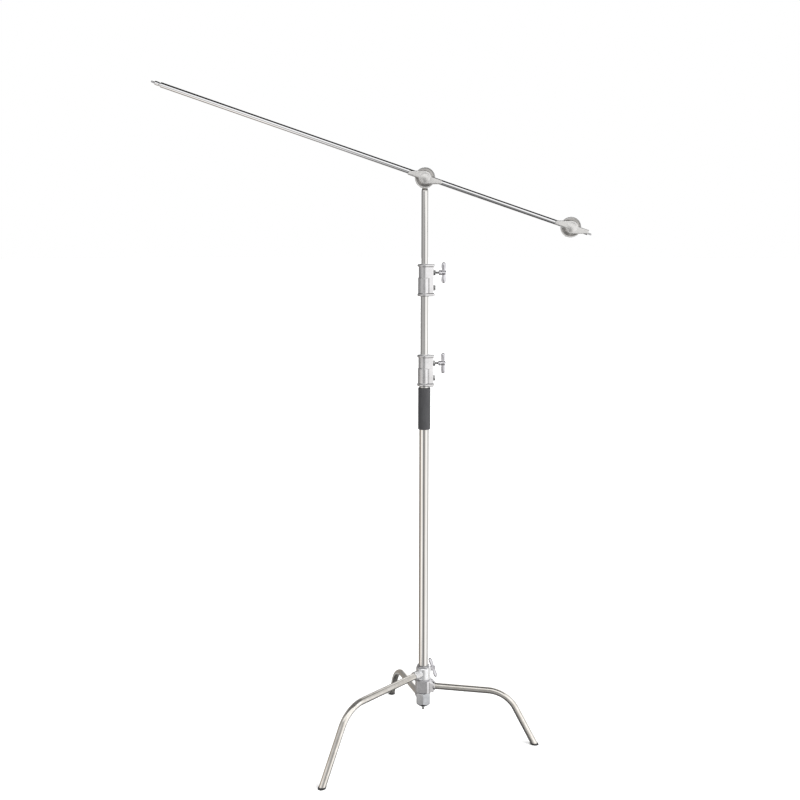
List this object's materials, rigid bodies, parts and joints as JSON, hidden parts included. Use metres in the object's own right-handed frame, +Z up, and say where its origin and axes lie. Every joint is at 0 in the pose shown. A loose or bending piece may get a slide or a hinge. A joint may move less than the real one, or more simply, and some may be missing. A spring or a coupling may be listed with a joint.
{
  "type": "c stand",
  "caption": "Three-section lighting stand on nesting bent legs, with a tilting grip head on its top pin and a long boom arm that ends in stepped pins and carries a second head.",
  "frame": {"origin": "the column's axis at floor level", "axes": "+Z up the column, +X towards the arm's end that carries the second head, +Y from the arm towards the heads' knobs"},
  "size_m": [1.3631, 0.7183, 2.1526],
  "materials": {
    "polished_steel": "polished stainless tube with fine drawn lines",
    "arm_chrome": "bright chrome plate",
    "leg_steel": "satin stainless tube",
    "cast_metal": "plated casting, slightly rough",
    "head_metal": "satin plated casting",
    "knob_metal": "satin plated casting",
    "zinc_hardware": "zinc plated turned steel",
    "grip_rubber": "matt foam rubber",
    "foot_plastic": "moulded, scuffed",
    "grey_nylon": "moulded nylon",
    "brass_shoe": "plain",
    "slide_bush_metal": "turned"
  },
  "bodies": {
    "stand": {"lower_tube": "polished_steel", "grip_sleeve": "grip_rubber", "lower_collar": "cast_metal", "lower_collar_bush": "grey_nylon", "lower_collar_shoe": "brass_shoe", "lower_collar_nut": "zinc_hardware", "lower_collar_bolt": "zinc_hardware", "small_leg_hub": "cast_metal", "small_leg": "leg_steel", "small_leg_foot": "foot_plastic", "small_leg_rivet": "zinc_hardware", "base_plug": "zinc_hardware", "base_bolt": "zinc_hardware", "base_nut": "zinc_hardware", "hub_washers": "grey_nylon"},
    "lower_collar_knob": {"lower_collar_handle": "knob_metal", "lower_collar_stud": "zinc_hardware"},
    "middle_leg_unit": {"middle_leg_hub": "cast_metal", "middle_leg": "leg_steel", "middle_leg_foot": "foot_plastic", "middle_leg_rivet": "zinc_hardware"},
    "leg_slider": {"slide_bush": "slide_bush_metal"},
    "big_leg_unit": {"big_leg_hub": "cast_metal", "big_leg": "leg_steel", "big_leg_foot": "foot_plastic", "big_leg_rivet": "zinc_hardware"},
    "leg_lock_knob": {"leg_lock_handle": "knob_metal", "leg_lock_stud": "zinc_hardware"},
    "riser_1": {"middle_tube": "polished_steel", "middle_tube_guide": "grey_nylon", "upper_collar": "cast_metal", "upper_collar_bush": "grey_nylon", "upper_collar_shoe": "brass_shoe", "upper_collar_nut": "zinc_hardware", "upper_collar_bolt": "zinc_hardware"},
    "upper_collar_knob": {"upper_collar_handle": "knob_metal", "upper_collar_stud": "zinc_hardware"},
    "riser_2": {"top_tube": "polished_steel", "top_tube_guide": "grey_nylon", "top_pin": "polished_steel"},
    "head_1_rear": {"head_1_casting": "head_metal", "head_1_friction_ring": "grey_nylon", "head_1_washer": "zinc_hardware"},
    "head_1_lock": {"head_1_lock_screw": "zinc_hardware"},
    "head_1_front": {"head_1_disc": "head_metal", "head_1_jaw": "head_metal", "head_1_bolt": "zinc_hardware"},
    "head_1_knob": {"head_1_handle": "knob_metal"},
    "arm": {"arm_rod": "arm_chrome", "arm_pins": "arm_chrome"},
    "head_2_front": {"head_2_disc": "head_metal", "head_2_jaw": "head_metal", "head_2_bolt": "zinc_hardware"},
    "head_2_rear": {"head_2_casting": "head_metal", "head_2_friction_ring": "grey_nylon", "head_2_washer": "zinc_hardware"},
    "head_2_lock": {"head_2_lock_screw": "zinc_hardware"},
    "head_2_knob": {"head_2_handle": "knob_metal"}
  },
  "joints": [
    {"name": "lower_collar_knob_turn", "type": "hinge", "parent": "stand", "child": "lower_collar_knob", "pos_m": [0.035, 0, 1.274], "axis": [1, 0, 0], "continuous": true},
    {"name": "middle_leg_fold", "type": "hinge", "parent": "stand", "child": "middle_leg_unit", "pos_m": [0, 0, 0.177], "axis": [0, 0, 1], "range_deg": [0, 120]},
    {"name": "big_leg_slide", "type": "slide", "parent": "stand", "child": "leg_slider", "axis": [0, 0, 1], "range_m": [0, 0.35]},
    {"name": "big_leg_fold", "type": "hinge", "parent": "leg_slider", "child": "big_leg_unit", "pos_m": [0, 0, 0.222], "axis": [0, 0, 1], "range_deg": [-120, 0]},
    {"name": "leg_lock_knob_turn", "type": "hinge", "parent": "big_leg_unit", "child": "leg_lock_knob", "pos_m": [0.01928, 0.02298, 0.223], "axis": [0.6428, 0.766, 0], "continuous": true},
    {"name": "riser_1_slide", "type": "slide", "parent": "stand", "child": "riser_1", "axis": [0, 0, 1], "range_m": [-0.184, 0.73]},
    {"name": "upper_collar_knob_turn", "type": "hinge", "parent": "riser_1", "child": "upper_collar_knob", "pos_m": [0.035, 0, 1.564], "axis": [1, 0, 0], "continuous": true},
    {"name": "riser_2_slide", "type": "slide", "parent": "riser_1", "child": "riser_2", "axis": [0, 0, 1], "range_m": [-0.215, 0.73]},
    {"name": "head_1_swivel", "type": "hinge", "parent": "riser_2", "child": "head_1_rear", "pos_m": [0, 0, 1.841], "axis": [0, 0, 1], "continuous": true},
    {"name": "head_1_lock_turn", "type": "hinge", "parent": "head_1_rear", "child": "head_1_lock", "pos_m": [0, 0.02, 1.841], "axis": [0, 1, 0], "continuous": true},
    {"name": "arm_tilt", "type": "hinge", "parent": "head_1_rear", "child": "head_1_front", "pos_m": [0, -0.025, 1.859], "axis": [0, -1, 0], "range_deg": [-30, 245]},
    {"name": "head_1_knob_turn", "type": "hinge", "parent": "head_1_front", "child": "head_1_knob", "pos_m": [0, 0.04, 1.859], "axis": [0, 1, 0], "continuous": true},
    {"name": "arm_slide", "type": "slide", "parent": "head_1_front", "child": "arm", "axis": [0.9461, 0, -0.3239], "range_m": [-0.15, 0.75]},
    {"name": "head_2_roll", "type": "hinge", "parent": "arm", "child": "head_2_front", "pos_m": [0.45571, -0.045, 1.70509], "axis": [0.9461, 0, -0.3239], "continuous": true},
    {"name": "head_2_tilt", "type": "hinge", "parent": "head_2_front", "child": "head_2_rear", "pos_m": [0.45636, -0.025, 1.70698], "axis": [0, -1, 0], "continuous": true},
    {"name": "head_2_knob_turn", "type": "hinge", "parent": "head_2_front", "child": "head_2_knob", "pos_m": [0.45636, 0.04, 1.70698], "axis": [0, 1, 0], "continuous": true},
    {"name": "head_2_lock_turn", "type": "hinge", "parent": "head_2_rear", "child": "head_2_lock", "pos_m": [0.45636, 0.02, 1.68898], "axis": [0, 1, 0], "continuous": true}
  ]
}
